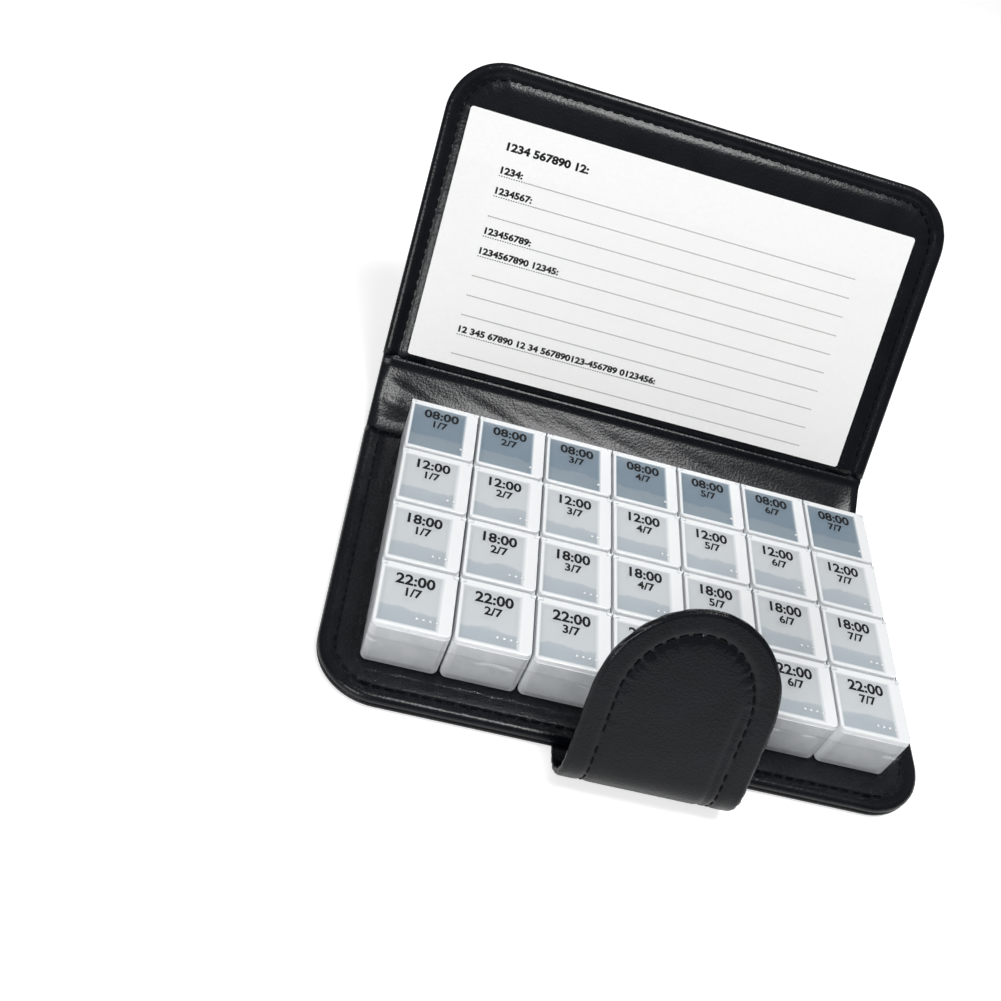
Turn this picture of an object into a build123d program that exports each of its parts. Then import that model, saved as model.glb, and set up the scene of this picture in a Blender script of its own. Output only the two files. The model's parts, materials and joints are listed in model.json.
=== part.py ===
"""Weekly pill wallet: a folding leatherette case with seven day strips of four lidded compartments.

Millimetres. +X runs along the spine, +Y points at the spine, +Z is up.
The origin is the middle of the tray half's bottom face. The case is shown open, as it stands on a table.
"""

import os
from math import cos, radians, sin

from build123d import *

# Day strips
strip_count = 7
row_count = 4
strip_width = 22.2
strip_gap = 0.6
row_length = 23.35
strip_height = 18.1
strip_wall = 1.2
strip_floor = 1.2
strip_corner_radius = 2.0
strip_bottom_radius = 1.6
pocket_corner_radius = 1.4
pocket_bottom_radius = 1.0

# Lids and their hinges
lid_thickness = 1.5
lid_seat_gap = 0.1
lid_side_inset = 0.15
lid_front_inset = 0.3
lid_corner_radius = 1.6
lid_edge_radius = 0.35
hinge_setback = 1.3
pin_radius = 0.55
pin_radial_clearance = 0.05
pin_end_clearance = 0.2
ear_width = 1.5
ear_side_clearance = 0.12
ear_notch_clearance = 0.25
skirt_depth = 1.3
skirt_wall = 0.7
skirt_clearance = 0.35
skirt_hinge_gap = 1.6

# Panels of the case
skin_thickness = 1.3
board_thickness = 1.8
lining_thickness = 1.1
spine_board_thickness = 1.2
side_border = 12.5
front_border = 12.3
spine_margin = 2.6
corner_radius = 19.0
binding_width = 4.0
binding_height = 5.0
binding_edge_radius = 1.9
fold_half_width = 2.4
cover_setback = 4.6
cover_side_setback = 6.0
open_fold_angle = 29.0

# Film wall round the strips
film_thickness = 0.35
film_wall_height = 13.0
film_clearance = 0.4
film_flange_inset = 1.5
film_corner_radius = 3.0

# Card and its pocket
card_width = 158.4
card_height = 83.0
card_thickness = 0.4
card_offset = -1.8
card_clearance = 0.12
card_corner_radius = 1.0
pocket_film_thickness = 0.4
pocket_rim_width = 2.0
pocket_cover_share = 0.8
closing_clearance = 0.8

# Strap
strap_width = 50.5
strap_offset = 3.5
strap_thickness = 2.4
strap_lining_thickness = 1.0
strap_bend_radius = 11.0
strap_bend_reach = 1.9
strap_lean_angle = 67.0
strap_neck_length = 20.5
strap_tongue_length = 30.0
strap_fold_gap = 0.2
strap_root_length = 42.0
strap_root_clearance = 0.15
strap_tip_share = 0.98

# Closure
magnet_radius = 7.0
magnet_thickness = 0.8
magnet_from_tip = 13.0
magnet_clearance = 0.1
keeper_radius = 9.0
keeper_thickness = 0.6
keeper_inset = 14.2
keeper_clearance = 0.1

cut_overrun = 1.0

# Sizes that follow
strip_pitch = strip_width + strip_gap
strip_length = row_count * row_length
strips_width = strip_count * strip_pitch - strip_gap
wall_top = strip_height - lid_thickness - lid_seat_gap
hinge_height = strip_height - lid_thickness / 2
pocket_width = strip_width - 2 * strip_wall
pocket_length = row_length - strip_wall
pocket_depth = wall_top - strip_floor
ear_radius = lid_thickness / 2

panel_thickness = skin_thickness + board_thickness + lining_thickness
# The cover's lining is padded up to the top of its binding, so that the card slides out over the bead
cover_panel_thickness = binding_height
cover_lining_thickness = cover_panel_thickness - skin_thickness - board_thickness
fold_height = panel_thickness / 2
wallet_width = strips_width + 2 * side_border
tray_length = front_border + strip_length + spine_margin
front_edge = -tray_length / 2
fold_line = tray_length / 2
strips_front = front_edge + front_border
film_stack = card_thickness + 2 * card_clearance + pocket_film_thickness
closed_stack = strip_height + film_stack + closing_clearance
spine_length = panel_thickness + cover_panel_thickness - 2 * fold_height + closed_stack
cover_length = tray_length - cover_setback
# The cover's right edge stands in from the tray's, and its left edges line up
cover_width = wallet_width - cover_side_setback
cover_middle = -cover_side_setback / 2
card_bottom = fold_half_width + pocket_rim_width + card_clearance
bend_axis_y = front_edge - strap_bend_reach
strap_inner_radius = strap_bend_radius - strap_thickness

# Places of the folded parts: the spine turns about the lower fold, the cover about the upper one
spine_place = Pos(0, fold_line, fold_height) * Rot(open_fold_angle, 0, 0)
upper_fold_place = spine_place * Pos(0, spine_length, 0)
cover_place = upper_fold_place * Rot(open_fold_angle, 0, 0) * Pos(cover_middle, 0, -fold_height)
# The straight part of the strap starts where the bend ends: its own y runs to the tip, its z outwards
strap_place = (
    Pos(strap_offset, bend_axis_y, strap_bend_radius)
    * Rot(strap_lean_angle, 0, 0)
    * Pos(0, 0, strap_inner_radius)
)

time_names = ["bedtime", "evening", "noon", "morning"]


def strip_place(day):
    """Place of a strip's front bottom edge, in the middle of its width; days count from 0."""
    return Pos((day - (strip_count - 1) / 2) * strip_pitch, strips_front, panel_thickness)


def hinge_y(row):
    """Distance from a strip's front face to the hinge pins of a row of lids."""
    return (row + 1) * row_length - hinge_setback


def block(x0, x1, y0, y1, z0, z1):
    """Box between two corners."""
    return Pos((x0 + x1) / 2, (y0 + y1) / 2, (z0 + z1) / 2) * Box(x1 - x0, y1 - y0, z1 - z0)


def rod(radius, length, y, z):
    """Round rod along X, centred on x = 0."""
    return Pos(0, y, z) * Rot(0, 90, 0) * Cylinder(radius, length)


def round_tray(width, length, height, corner, bottom, y, top):
    """Block with round upright edges and a round bottom rim; y is its middle."""
    outline = Pos(0, y, top - height) * RectangleRounded(width, length, corner)
    shape = extrude(outline, amount=height)
    return fillet(shape.faces().sort_by(Axis.Z)[0].edges(), bottom)


def half_panel(width, length, radius, start, z0, height):
    """Panel from y = start to y = length with a square near end and two round far corners."""
    outline = Pos(0, length / 2, z0) * RectangleRounded(width, length, radius)
    square_end = Pos(0, (start + length / 2) / 2, z0) * Rectangle(width, length / 2 - start)
    far_half = Pos(0, length, z0) * Rectangle(width, length)
    return extrude(square_end + (outline & far_half), amount=height)


def panel_layer(width, length, z0, height):
    """One flat layer of a case half, inside its edge binding; y runs from the fold to the free edge."""
    return half_panel(
        width - 2 * binding_width,
        length - binding_width,
        corner_radius - binding_width,
        fold_half_width,
        z0,
        height,
    )


def edge_binding(width, length):
    """Rolled bead along the three free edges of a case half."""
    outer = half_panel(width, length, corner_radius, fold_half_width, 0, binding_height)
    rims = outer.faces().sort_by(Axis.Z)
    beads = [edge for face in (rims[0], rims[-1]) for edge in face.edges()]
    free = [edge for edge in beads if edge.center().Y > fold_half_width + binding_edge_radius]
    outer = fillet(free, binding_edge_radius)
    inner = half_panel(
        width - 2 * binding_width,
        length - binding_width,
        corner_radius - binding_width,
        fold_half_width - cut_overrun,
        -cut_overrun,
        binding_height + 2 * cut_overrun,
    )
    return outer - inner


# The tray half is drawn like the cover, from its fold to its free edge, and turned round to face -Y
tray_place = Pos(0, fold_line, 0) * Rot(0, 0, 180)


def strap_root_block(grow, overrun):
    """Sewn-down end of the strap, under the tray; grow widens it to its recess."""
    half = strap_width / 2 + grow
    back = bend_axis_y + strap_root_length + grow
    return block(
        strap_offset - half, strap_offset + half, bend_axis_y, back, -overrun, skin_thickness
    )


def make_tray_skin():
    skin = tray_place * panel_layer(wallet_width, tray_length, 0, skin_thickness)
    return skin - strap_root_block(strap_root_clearance, cut_overrun)


def make_tray_board():
    return tray_place * panel_layer(wallet_width, tray_length, skin_thickness, board_thickness)


def make_tray_lining():
    base = skin_thickness + board_thickness
    return tray_place * panel_layer(wallet_width, tray_length, base, lining_thickness)


def make_tray_edge_binding():
    binding = tray_place * edge_binding(wallet_width, tray_length)
    return binding - strap_root_block(strap_root_clearance, cut_overrun)


def make_strip_pocket_film():
    """Upright film wall on the left, front and right of the strips, on a flange sewn to the border."""
    start = spine_margin + row_length
    inner_length = spine_margin + strip_length + film_clearance
    inner_width = strips_width + 2 * film_clearance
    flange_inset = binding_width + film_flange_inset

    inside = half_panel(
        inner_width,
        inner_length,
        film_corner_radius,
        start - cut_overrun,
        panel_thickness - cut_overrun,
        film_wall_height + 2 * cut_overrun,
    )
    flange = half_panel(
        wallet_width - 2 * flange_inset,
        tray_length - flange_inset,
        corner_radius - flange_inset,
        start,
        panel_thickness,
        film_thickness,
    )
    wall = half_panel(
        inner_width + 2 * film_thickness,
        inner_length + film_thickness,
        film_corner_radius + film_thickness,
        start,
        panel_thickness,
        film_wall_height,
    )
    return tray_place * (flange + wall - inside)


def make_strap_root():
    return strap_root_block(0, 0)


def make_strip(day):
    """Open tray of clear plastic with four compartments and a pair of hinge ears for each lid."""
    body = round_tray(
        strip_width,
        strip_length,
        wall_top,
        strip_corner_radius,
        strip_bottom_radius,
        strip_length / 2,
        wall_top,
    )
    ear_middle = (strip_width - ear_width) / 2
    for row in range(row_count):
        body -= round_tray(
            pocket_width,
            pocket_length,
            pocket_depth,
            pocket_corner_radius,
            pocket_bottom_radius,
            (row + 1 / 2) * row_length,
            wall_top,
        )
        y = hinge_y(row)
        post = block(
            -ear_width / 2, ear_width / 2, y - ear_radius, y + ear_radius, wall_top, hinge_height
        )
        ear = post + rod(ear_radius, ear_width, y, hinge_height)
        ear -= rod(pin_radius + pin_radial_clearance, ear_width + cut_overrun, y, hinge_height)
        body += Pos(ear_middle, 0, 0) * ear
        body += Pos(-ear_middle, 0, 0) * ear
    return strip_place(day) * body


def make_lid(day, row):
    """Flip lid: a plate with a hinge barrel and two pins at its rear, and a skirt in the compartment."""
    y_hinge = hinge_y(row)
    y_front = row * row_length + lid_front_inset
    y_notch = y_hinge - ear_radius - ear_notch_clearance
    under = strip_height - lid_thickness
    width = strip_width - 2 * lid_side_inset
    barrel_width = strip_width - 2 * (ear_width + ear_side_clearance)

    outline = Pos(0, (y_front + y_notch) / 2, under) * Rectangle(width, y_notch - y_front)
    outline = fillet(outline.vertices().sort_by(Axis.Y)[:2], lid_corner_radius)
    plate = extrude(outline, amount=lid_thickness)
    rim = plate.faces().sort_by(Axis.Z)[-1].edges().sort_by(Axis.Y)[:-1]
    plate = fillet(rim, lid_edge_radius)
    lid = plate + block(
        -barrel_width / 2, barrel_width / 2, y_notch, y_hinge, under, strip_height
    )
    lid += rod(lid_thickness / 2, barrel_width, y_hinge, hinge_height)
    lid += rod(pin_radius, strip_width - 2 * pin_end_clearance, y_hinge, hinge_height)

    skirt_half = pocket_width / 2 - skirt_clearance
    skirt_front = row * row_length + strip_wall / 2 + skirt_clearance
    skirt_back = y_hinge - skirt_hinge_gap
    skirt = block(-skirt_half, skirt_half, skirt_front, skirt_back, under - skirt_depth, under)
    skirt = fillet(skirt.edges().filter_by(Axis.Z), pocket_corner_radius)
    hollow = block(
        -skirt_half + skirt_wall,
        skirt_half - skirt_wall,
        skirt_front + skirt_wall,
        skirt_back - skirt_wall,
        under - skirt_depth - cut_overrun,
        under,
    )
    lid += skirt - hollow
    return strip_place(day) * lid


def make_fold_leather():
    """Bent band of skin that joins two panels at a fold, drawn about the fold line at y = 0."""
    outside = -fold_height
    inside = skin_thickness - fold_height

    def turned(y, z, angle):
        a = radians(angle)
        return (y * cos(a) - z * sin(a), y * sin(a) + z * cos(a))

    profile = [
        (-fold_half_width, outside),
        turned(0, outside, open_fold_angle / 2),
        turned(fold_half_width, outside, open_fold_angle),
        turned(fold_half_width, inside, open_fold_angle),
        turned(0, inside, open_fold_angle / 2),
        (-fold_half_width, inside),
    ]
    face = make_face(Polyline(profile, close=True))
    return extrude(Plane.YZ * face, amount=wallet_width / 2, both=True)


def make_lower_fold_leather():
    return Pos(0, fold_line, fold_height) * make_fold_leather()


def make_upper_fold_leather():
    return upper_fold_place * make_fold_leather()


def spine_layer(z0, height):
    """One flat layer of the spine band between the two folds."""
    half = wallet_width / 2
    layer = block(
        -half, half, fold_half_width, spine_length - fold_half_width, z0, z0 + height
    )
    return spine_place * Pos(0, 0, -fold_height) * layer


def make_spine_skin():
    return spine_layer(0, skin_thickness)


def make_spine_board():
    return spine_layer(skin_thickness, spine_board_thickness)


def make_spine_lining():
    return spine_layer(skin_thickness + spine_board_thickness, lining_thickness)


def keeper_disc(grow, overrun):
    """Steel disc let into the outer side of the cover's board; grow and overrun make its recess."""
    z0 = skin_thickness - overrun
    height = keeper_thickness + grow + overrun
    place = Pos(strap_offset - cover_middle, cover_length - keeper_inset, z0 + height / 2)
    return place * Cylinder(keeper_radius + grow, height)


def make_cover_skin():
    return cover_place * panel_layer(cover_width, cover_length, 0, skin_thickness)


def make_cover_board():
    board = panel_layer(cover_width, cover_length, skin_thickness, board_thickness)
    return cover_place * (board - keeper_disc(keeper_clearance, cut_overrun))


def make_cover_lining():
    base = skin_thickness + board_thickness
    return cover_place * panel_layer(cover_width, cover_length, base, cover_lining_thickness)


def make_cover_edge_binding():
    return cover_place * edge_binding(cover_width, cover_length)


def make_cover_keeper():
    return cover_place * keeper_disc(0, 0)


def make_card_pocket_film():
    """Clear film over the lower part of the card, closed at its left, bottom and right rim."""
    half = card_width / 2 + card_clearance
    bottom = card_bottom - card_clearance
    top = card_bottom + card_height * pocket_cover_share
    base = cover_panel_thickness
    sheet = block(
        card_offset - half - pocket_rim_width,
        card_offset + half + pocket_rim_width,
        bottom - pocket_rim_width,
        top,
        base,
        base + film_stack,
    )
    space = block(
        card_offset - half,
        card_offset + half,
        bottom,
        top + cut_overrun,
        base - cut_overrun,
        base + film_stack - pocket_film_thickness,
    )
    return cover_place * (sheet - space)


def make_id_card():
    outline = RectangleRounded(card_width, card_height, card_corner_radius)
    base = cover_panel_thickness + card_clearance
    place = Pos(card_offset, card_bottom + card_height / 2, base)
    return cover_place * extrude(place * outline, amount=card_thickness)


def make_strap_bend():
    """Quarter-round bend of the strap, from its root up to its neck."""
    ring = Cylinder(strap_bend_radius, strap_width) - Cylinder(strap_inner_radius, strap_width)
    ring = Rot(0, 90, 0) * ring
    reach = 2 * strap_bend_radius
    half = strap_width / 2
    front = block(-half, half, -reach, 0, -reach, reach)
    below_neck = Rot(strap_lean_angle, 0, 0) * block(-half, half, -reach, 0, -reach, reach)
    bend = ring & front & below_neck
    return Pos(strap_offset, bend_axis_y, strap_bend_radius) * bend


def make_strap_neck():
    half = strap_width / 2
    return strap_place * block(-half, half, 0, strap_neck_length, 0, strap_thickness)


def tongue_outline():
    """Rounded end of the strap, drawn from the fold at y = 0 to the tip."""
    start = strap_neck_length + strap_fold_gap
    tip_length = strap_tongue_length * strap_tip_share
    straight = strap_tongue_length - tip_length
    rounded = Pos(0, start + straight) * Ellipse(strap_width / 2, tip_length)
    tip = rounded & (Pos(0, start + straight + tip_length / 2) * Rectangle(strap_width, tip_length))
    return tip + Pos(0, start + straight / 2) * Rectangle(strap_width, straight)


def magnet_disc(grow):
    """Magnet against the lining, inside the tongue; grow makes its pocket."""
    middle = strap_neck_length + strap_fold_gap + strap_tongue_length - magnet_from_tip
    height = magnet_thickness + grow
    place = Pos(0, middle, strap_lining_thickness + height / 2)
    return place * Cylinder(magnet_radius + grow, height)


def make_strap_tongue():
    outline = Pos(0, 0, strap_lining_thickness) * tongue_outline()
    tongue = extrude(outline, amount=strap_thickness - strap_lining_thickness)
    return strap_place * (tongue - magnet_disc(magnet_clearance))


def make_strap_tongue_lining():
    return strap_place * extrude(tongue_outline(), amount=strap_lining_thickness)


def make_strap_magnet():
    return strap_place * magnet_disc(0)


def make_parts():
    """All sub-parts by name."""
    parts = {
        "tray_skin": make_tray_skin(),
        "tray_board": make_tray_board(),
        "tray_lining": make_tray_lining(),
        "tray_edge_binding": make_tray_edge_binding(),
        "strip_pocket_film": make_strip_pocket_film(),
        "lower_fold_leather": make_lower_fold_leather(),
        "spine_skin": make_spine_skin(),
        "spine_board": make_spine_board(),
        "spine_lining": make_spine_lining(),
        "upper_fold_leather": make_upper_fold_leather(),
        "cover_skin": make_cover_skin(),
        "cover_board": make_cover_board(),
        "cover_lining": make_cover_lining(),
        "cover_edge_binding": make_cover_edge_binding(),
        "cover_keeper": make_cover_keeper(),
        "card_pocket_film": make_card_pocket_film(),
        "id_card": make_id_card(),
        "strap_root": make_strap_root(),
        "strap_bend": make_strap_bend(),
        "strap_neck": make_strap_neck(),
        "strap_tongue": make_strap_tongue(),
        "strap_tongue_lining": make_strap_tongue_lining(),
        "strap_magnet": make_strap_magnet(),
    }
    for day in range(strip_count):
        parts[f"day{day + 1}_strip"] = make_strip(day)
        for row in range(row_count):
            parts[f"day{day + 1}_{time_names[row]}_lid"] = make_lid(day, row)
    return parts


def main():
    os.makedirs("parts", exist_ok=True)
    for name, part in make_parts().items():
        export_step(part, f"parts/{name}.step")


if __name__ == "__main__":
    main()
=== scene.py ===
"""Looks of the weekly pill wallet: leatherette case, clear day strips, film, printed card and strap.

Sizes are in millimetres and follow the frame; meshes are written in metres.
"""

import json
from math import atan2, cos, pi, radians, sin, sqrt

import bpy
import bmesh
import numpy as np
from mathutils import Matrix, Vector


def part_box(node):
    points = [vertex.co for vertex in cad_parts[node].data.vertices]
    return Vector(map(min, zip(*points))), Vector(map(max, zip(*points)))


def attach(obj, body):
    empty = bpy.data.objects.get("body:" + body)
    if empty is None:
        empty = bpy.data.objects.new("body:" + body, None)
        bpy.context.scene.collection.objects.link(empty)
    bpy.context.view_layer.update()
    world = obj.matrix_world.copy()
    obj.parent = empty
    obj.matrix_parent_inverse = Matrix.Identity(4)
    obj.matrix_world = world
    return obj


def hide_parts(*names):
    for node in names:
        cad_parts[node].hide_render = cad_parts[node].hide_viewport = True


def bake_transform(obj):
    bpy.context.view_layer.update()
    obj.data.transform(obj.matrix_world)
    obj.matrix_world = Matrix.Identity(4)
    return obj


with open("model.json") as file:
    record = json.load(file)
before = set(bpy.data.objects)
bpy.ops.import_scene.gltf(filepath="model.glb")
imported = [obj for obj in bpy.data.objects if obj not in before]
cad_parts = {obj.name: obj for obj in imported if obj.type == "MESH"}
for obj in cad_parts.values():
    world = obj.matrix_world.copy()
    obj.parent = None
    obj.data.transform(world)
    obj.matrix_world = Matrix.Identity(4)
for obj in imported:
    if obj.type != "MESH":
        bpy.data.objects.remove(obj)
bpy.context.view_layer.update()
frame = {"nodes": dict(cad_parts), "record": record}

MM = 0.001
MICRON = 0.001

joints = {joint["name"]: joint for joint in frame["record"]["behaviour"]["joints"]}


def box(node):
    """Lowest and highest corner of a node, in millimetres."""
    low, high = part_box(node)
    return [v / MM for v in low], [v / MM for v in high]


def joint_place(name):
    return [v / MM for v in joints[name]["pos_m"]]


# Sizes of the case, from the frame and from the part's own values
tray_low, tray_high = box("tray_edge_binding")
half_width = tray_high[0]
front_edge = tray_low[1]
lower_fold = joint_place("spine_fold")[1:]
upper_fold = joint_place("cover_fold")[1:]
fold_line = lower_fold[0]
fold_height = lower_fold[1]
spine_run = [upper_fold[0] - lower_fold[0], upper_fold[1] - lower_fold[1]]
spine_angle = atan2(spine_run[1], spine_run[0])
spine_length = sqrt(spine_run[0] ** 2 + spine_run[1] ** 2)
slide_axis = joints["card_slide"]["axis"]
cover_angle = atan2(slide_axis[2], slide_axis[1])
tray_length = fold_line - front_edge
cover_setback = 4.6
cover_length = tray_length - cover_setback
cover_left = box("cover_edge_binding")[0][0]
cover_right = box("cover_edge_binding")[1][0]
panel_height = box("tray_lining")[1][2]
fold_half_width = fold_line - tray_high[1]
corner_radius = 19.0
least_corner = 2.0
strips_front = box("day1_strip")[0][1]
strips_half = box("day7_strip")[1][0]

# Sizes of the strap, from the frame and from the part's own values
neck_low, neck_high = box("strap_neck")
strap_middle = (neck_low[0] + neck_high[0]) / 2
strap_half = (neck_high[0] - neck_low[0]) / 2
bend_centre = joint_place("strap_swing")[1:]
bend_radius = bend_centre[1]
strap_lean = radians(67)
strap_thickness = 2.4
root_length = box("strap_root")[1][1] - bend_centre[0]
neck_length = 20.6
tongue_length = 30.1
bend_length = bend_radius * (pi - strap_lean)
strap_length = root_length + bend_length + neck_length + tongue_length


def new_object(name, points, faces, material, smooth=True):
    """Mesh object from points in millimetres, with its faces turned outwards."""
    mesh = bpy.data.meshes.new(name)
    mesh.from_pydata([tuple(c * MM for c in p) for p in points], [], faces)
    work = bmesh.new()
    work.from_mesh(mesh)
    bmesh.ops.remove_doubles(work, verts=work.verts, dist=MICRON * MM)
    bmesh.ops.recalc_face_normals(work, faces=work.faces)
    work.to_mesh(mesh)
    work.free()
    for polygon in mesh.polygons:
        polygon.use_smooth = smooth and len(polygon.vertices) == 4
    obj = bpy.data.objects.new(name, mesh)
    bpy.context.scene.collection.objects.link(obj)
    mesh.materials.append(material)
    return obj


def grid_faces(rows, columns, first=0, closed=False):
    """Quads of a grid whose points are stored row by row."""
    faces = []
    last = columns if closed else columns - 1
    for r in range(rows - 1):
        for c in range(last):
            d = (c + 1) % columns
            a = first + r * columns
            faces.append((a + c, a + d, a + columns + d, a + columns + c))
    return faces


def ripple(s, seed):
    """Smooth uneven wave between about -1 and 1, along a length s in millimetres."""
    value = 0.0
    for k, (wave, share) in enumerate(((4.7, 0.4), (7.9, 0.35), (13.3, 0.25))):
        value += share * sin(2 * pi * s / wave + seed * (k + 1) * 1.7)
    return value


# Places of the folded panels: u runs from a fold to the free edge, h from the outer to the inner face
def on_tray(x, u, h):
    return (x, fold_line - u, h)


def on_cover(x, u, h):
    c, s = cos(cover_angle), sin(cover_angle)
    d = h - fold_height
    return (x, upper_fold[0] + u * c - d * s, upper_fold[1] + u * s + d * c)


# Materials
# Values between which most of a noise texture lies
noise_range = (0.3, 0.7)


def new_material(name):
    material = bpy.data.materials.new(name)
    material.use_nodes = True
    nodes = material.node_tree.nodes
    return material, nodes, material.node_tree.links, nodes["Principled BSDF"]


def object_coordinates(nodes):
    return nodes.new("ShaderNodeTexCoord").outputs["Object"]


def noise(nodes, links, vector, scale, detail=4.0, roughness=0.55):
    node = nodes.new("ShaderNodeTexNoise")
    node.inputs["Scale"].default_value = scale
    node.inputs["Detail"].default_value = detail
    node.inputs["Roughness"].default_value = roughness
    links.new(vector, node.inputs["Vector"])
    return node.outputs["Fac"]


def ramp(nodes, links, value, stops):
    node = nodes.new("ShaderNodeValToRGB")
    elements = node.color_ramp.elements
    for k, (place, colour) in enumerate(stops):
        element = elements[k] if k < 2 else elements.new(place)
        element.position = place
        element.color = (*colour, 1.0)
    links.new(value, node.inputs["Fac"])
    return node.outputs["Color"]


def spread(nodes, links, value, low, high, from_low=0.0, from_high=1.0):
    node = nodes.new("ShaderNodeMapRange")
    node.inputs["From Min"].default_value = from_low
    node.inputs["From Max"].default_value = from_high
    node.inputs["To Min"].default_value = low
    node.inputs["To Max"].default_value = high
    links.new(value, node.inputs["Value"])
    return node.outputs["Result"]


def combine(nodes, links, operation, a, b):
    node = nodes.new("ShaderNodeMath")
    node.operation = operation
    for socket, value in zip(node.inputs, (a, b)):
        if isinstance(value, (int, float)):
            socket.default_value = value
        else:
            links.new(value, socket)
    return node.outputs["Value"]


def add_bump(nodes, links, shader, height, strength, distance):
    node = nodes.new("ShaderNodeBump")
    node.inputs["Strength"].default_value = strength
    node.inputs["Distance"].default_value = distance
    links.new(height, node.inputs["Height"])
    links.new(node.outputs["Normal"], shader.inputs["Normal"])


def make_leather(name, dark, light, rough_low, rough_high, grain_scale, grain_strength):
    """Black leatherette: fine pebble grain over soft dents, with a satin finish."""
    material, nodes, links, shader = new_material(name)
    place = object_coordinates(nodes)
    dents = noise(nodes, links, place, 90.0, 3.0)
    pebbles = nodes.new("ShaderNodeTexVoronoi")
    pebbles.feature = "SMOOTH_F1"
    pebbles.inputs["Scale"].default_value = grain_scale
    pebbles.inputs["Smoothness"].default_value = 0.6
    links.new(place, pebbles.inputs["Vector"])
    pores = noise(nodes, links, place, grain_scale * 2.3, 3.0)
    pore_relief = combine(nodes, links, "MULTIPLY", pores, 0.5)
    grain = combine(nodes, links, "ADD", pebbles.outputs["Distance"], pore_relief)
    dent_relief = combine(nodes, links, "MULTIPLY", dents, 1.5)
    relief = combine(nodes, links, "ADD", grain, dent_relief)
    links.new(ramp(nodes, links, dents, ((0.3, dark), (0.75, light))), shader.inputs["Base Color"])
    links.new(spread(nodes, links, pores, rough_low, rough_high, *noise_range), shader.inputs["Roughness"])
    shader.inputs["Specular IOR Level"].default_value = 0.27
    add_bump(nodes, links, shader, relief, grain_strength, 0.12 * MM)
    return material


def make_thread(name):
    """Black twisted sewing thread."""
    material, nodes, links, shader = new_material(name)
    place = object_coordinates(nodes)
    twist = nodes.new("ShaderNodeTexWave")
    twist.bands_direction = "DIAGONAL"
    twist.inputs["Scale"].default_value = 900.0
    twist.inputs["Distortion"].default_value = 1.0
    links.new(place, twist.inputs["Vector"])
    tones = ((0.2, (0.002, 0.002, 0.003)), (0.8, (0.008, 0.0085, 0.01)))
    links.new(ramp(nodes, links, twist.outputs["Fac"], tones), shader.inputs["Base Color"])
    shader.inputs["Roughness"].default_value = 0.55
    shader.inputs["Specular IOR Level"].default_value = 0.08
    add_bump(nodes, links, shader, twist.outputs["Fac"], 0.5, 0.1 * MM)
    return material


def shares_of_box(nodes, links):
    """Place in the object's own box, as shares of its width, depth and height."""
    shares = nodes.new("ShaderNodeSeparateXYZ")
    links.new(nodes.new("ShaderNodeTexCoord").outputs["Generated"], shares.inputs["Vector"])
    return shares.outputs


def set_polish(nodes, links, shader, cloud, roughness):
    """Roughness that varies a little with a noise."""
    polish = spread(nodes, links, cloud, roughness * 0.8, roughness * 1.3, *noise_range)
    links.new(polish, shader.inputs["Roughness"])


def make_clear_plastic(
    name, tint_low, tint_high, haze, side_haze, level_haze, roughness, edges=(), edge_haze=0.85
):
    """Moulded plastic: hazy in front, milkier on its side walls, its level faces and the given edges."""
    material, nodes, links, shader = new_material(name)
    place = object_coordinates(nodes)
    cloud = noise(nodes, links, place, 160.0, 3.0)
    ripples = noise(nodes, links, place, 45.0, 1.0)
    turned = nodes.new("ShaderNodeSeparateXYZ")
    links.new(nodes.new("ShaderNodeTexCoord").outputs["Normal"], turned.inputs["Vector"])
    alpha = spread(nodes, links, cloud, haze * 0.92, haze * 1.08, *noise_range)
    for axis, share in (("X", side_haze), ("Z", level_haze)):
        aligned = combine(nodes, links, "ABSOLUTE", turned.outputs[axis], 0)
        alpha = combine(nodes, links, "ADD", alpha, combine(nodes, links, "MULTIPLY", aligned, share))
    shares = shares_of_box(nodes, links)
    for axis, edge, inner in edges:
        rim = spread(nodes, links, shares[axis], edge_haze, 0, edge, inner)
        alpha = combine(nodes, links, "MAXIMUM", alpha, rim)
    tones = zip(noise_range, (tint_low, tint_high))
    links.new(ramp(nodes, links, cloud, tones), shader.inputs["Base Color"])
    links.new(alpha, shader.inputs["Alpha"])
    set_polish(nodes, links, shader, cloud, roughness)
    shader.inputs["IOR"].default_value = 1.5
    add_bump(nodes, links, shader, ripples, 0.1, 0.4 * MM)
    return material


def make_lid_plastic(name, window_front, window, frame_tint, haze, frame_haze, roughness):
    """Flip lid: a polished window with a band along its front, in a milky frame, broad at its right."""
    material, nodes, links, shader = new_material(name)
    cloud = noise(nodes, links, object_coordinates(nodes), 120.0, 3.0)
    shares = shares_of_box(nodes, links)
    mask = spread(nodes, links, shares["X"], 0, 1, *lid_frame_right)
    for axis, edge, inner in (
        ("X", *lid_frame_left),
        ("Y", *lid_frame_front),
        ("Y", *lid_frame_hinge),
    ):
        side = spread(nodes, links, shares[axis], 1, 0, edge, inner)
        mask = combine(nodes, links, "MAXIMUM", mask, side)
    shake = spread(nodes, links, cloud, -lid_band_wave, lid_band_wave, *noise_range)
    wavy = combine(nodes, links, "ADD", shares["Y"], shake)
    behind_band = spread(nodes, links, wavy, 0, window_tone, *lid_front_band)
    tone = combine(nodes, links, "MAXIMUM", mask, behind_band)
    tones = ((0.0, window_front), (window_tone, window), (1.0, frame_tint))
    links.new(ramp(nodes, links, tone, tones), shader.inputs["Base Color"])
    links.new(spread(nodes, links, mask, haze, frame_haze), shader.inputs["Alpha"])
    set_polish(nodes, links, shader, cloud, roughness)
    shader.inputs["IOR"].default_value = 1.5
    ripples = noise(nodes, links, object_coordinates(nodes), 60.0, 1.0)
    add_bump(nodes, links, shader, ripples, 0.12, 0.4 * MM)
    return material


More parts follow.
